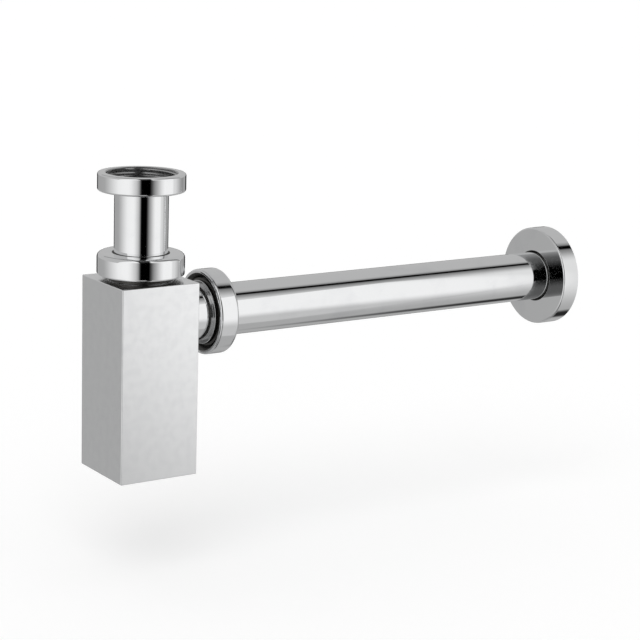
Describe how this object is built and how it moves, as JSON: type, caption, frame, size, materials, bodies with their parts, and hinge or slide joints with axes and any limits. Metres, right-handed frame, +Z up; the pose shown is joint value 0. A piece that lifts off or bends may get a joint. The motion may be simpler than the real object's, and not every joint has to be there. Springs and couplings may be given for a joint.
{
  "type": "square bottle trap",
  "caption": "Chrome waste trap for a basin: square bottle body, adjustable inlet tube with union nut, long outlet tube and round wall flange.",
  "frame": {"origin": "centre of the inlet seat, on top of the washer in the inlet nut, on the inlet axis", "axes": "+Z up the inlet, +X along the outlet tube to the wall"},
  "size_m": [0.34, 0.065, 0.1805],
  "materials": {
    "chrome": "polished chrome plate on brass",
    "body_chrome": "satin chrome plate on brass",
    "rubber": "matt black rubber",
    "slip_plastic": "natural white plastic"
  },
  "bodies": {
    "trap": {"body_shell": "body_chrome", "base_plate": "body_chrome", "inlet_neck": "chrome", "outlet_spigot": "chrome", "body_seal": "rubber", "outlet_seal": "rubber"},
    "inlet": {"inlet_tube": "chrome", "inlet_washer": "rubber"},
    "inlet_union": {"inlet_nut": "chrome"},
    "body_ring": {"body_slip_ring": "slip_plastic"},
    "body_union": {"body_nut": "chrome"},
    "outlet_ring": {"outlet_slip_ring": "slip_plastic"},
    "outlet_union": {"outlet_nut": "chrome"},
    "outlet": {"outlet_tube": "chrome"},
    "flange": {"wall_flange": "chrome", "flange_o_ring": "rubber"},
    "plug_ring": {"plug_o_ring": "rubber"},
    "plug": {"cleaning_plug": "chrome"}
  },
  "joints": [
    {"name": "inlet_height", "type": "slide", "parent": "trap", "child": "inlet", "axis": [0, 0, 1], "range_m": [-0.01, 0.03]},
    {"name": "inlet_nut_turn", "type": "hinge", "parent": "inlet", "child": "inlet_union", "pos_m": [0, 0, 0], "axis": [0, 0, 1], "continuous": true},
    {"name": "body_nut_travel", "type": "slide", "parent": "trap", "child": "body_ring", "axis": [0, 0, 1], "range_m": [0, 0.00463]},
    {"name": "body_nut_turn", "type": "hinge", "parent": "body_ring", "child": "body_union", "pos_m": [0, 0, -0.05], "axis": [0, 0, 1], "range_deg": [0, 720]},
    {"name": "outlet_nut_travel", "type": "slide", "parent": "trap", "child": "outlet_ring", "axis": [1, 0, 0], "range_m": [0, 0.00463]},
    {"name": "outlet_nut_turn", "type": "hinge", "parent": "outlet_ring", "child": "outlet_union", "pos_m": [0.05, 0, -0.0822], "axis": [1, 0, 0], "range_deg": [0, 720]},
    {"name": "outlet_reach", "type": "slide", "parent": "trap", "child": "outlet", "axis": [1, 0, 0], "range_m": [-0.009, 0.012]},
    {"name": "flange_slide", "type": "slide", "parent": "outlet", "child": "flange", "axis": [1, 0, 0], "range_m": [-0.2, 0]},
    {"name": "plug_travel", "type": "slide", "parent": "trap", "child": "plug_ring", "axis": [0, 0, -1], "range_m": [0, 0.00463]},
    {"name": "plug_turn", "type": "hinge", "parent": "plug_ring", "child": "plug", "pos_m": [0, 0, -0.17], "axis": [0, 0, -1], "range_deg": [0, 720]}
  ],
  "couplings": [
    {"joint": "body_nut_travel", "follows": "body_nut_turn", "m_per_rad": 0.0003675},
    {"joint": "outlet_nut_travel", "follows": "outlet_nut_turn", "m_per_rad": 0.0003675},
    {"joint": "plug_travel", "follows": "plug_turn", "m_per_rad": 0.0003675}
  ]
}
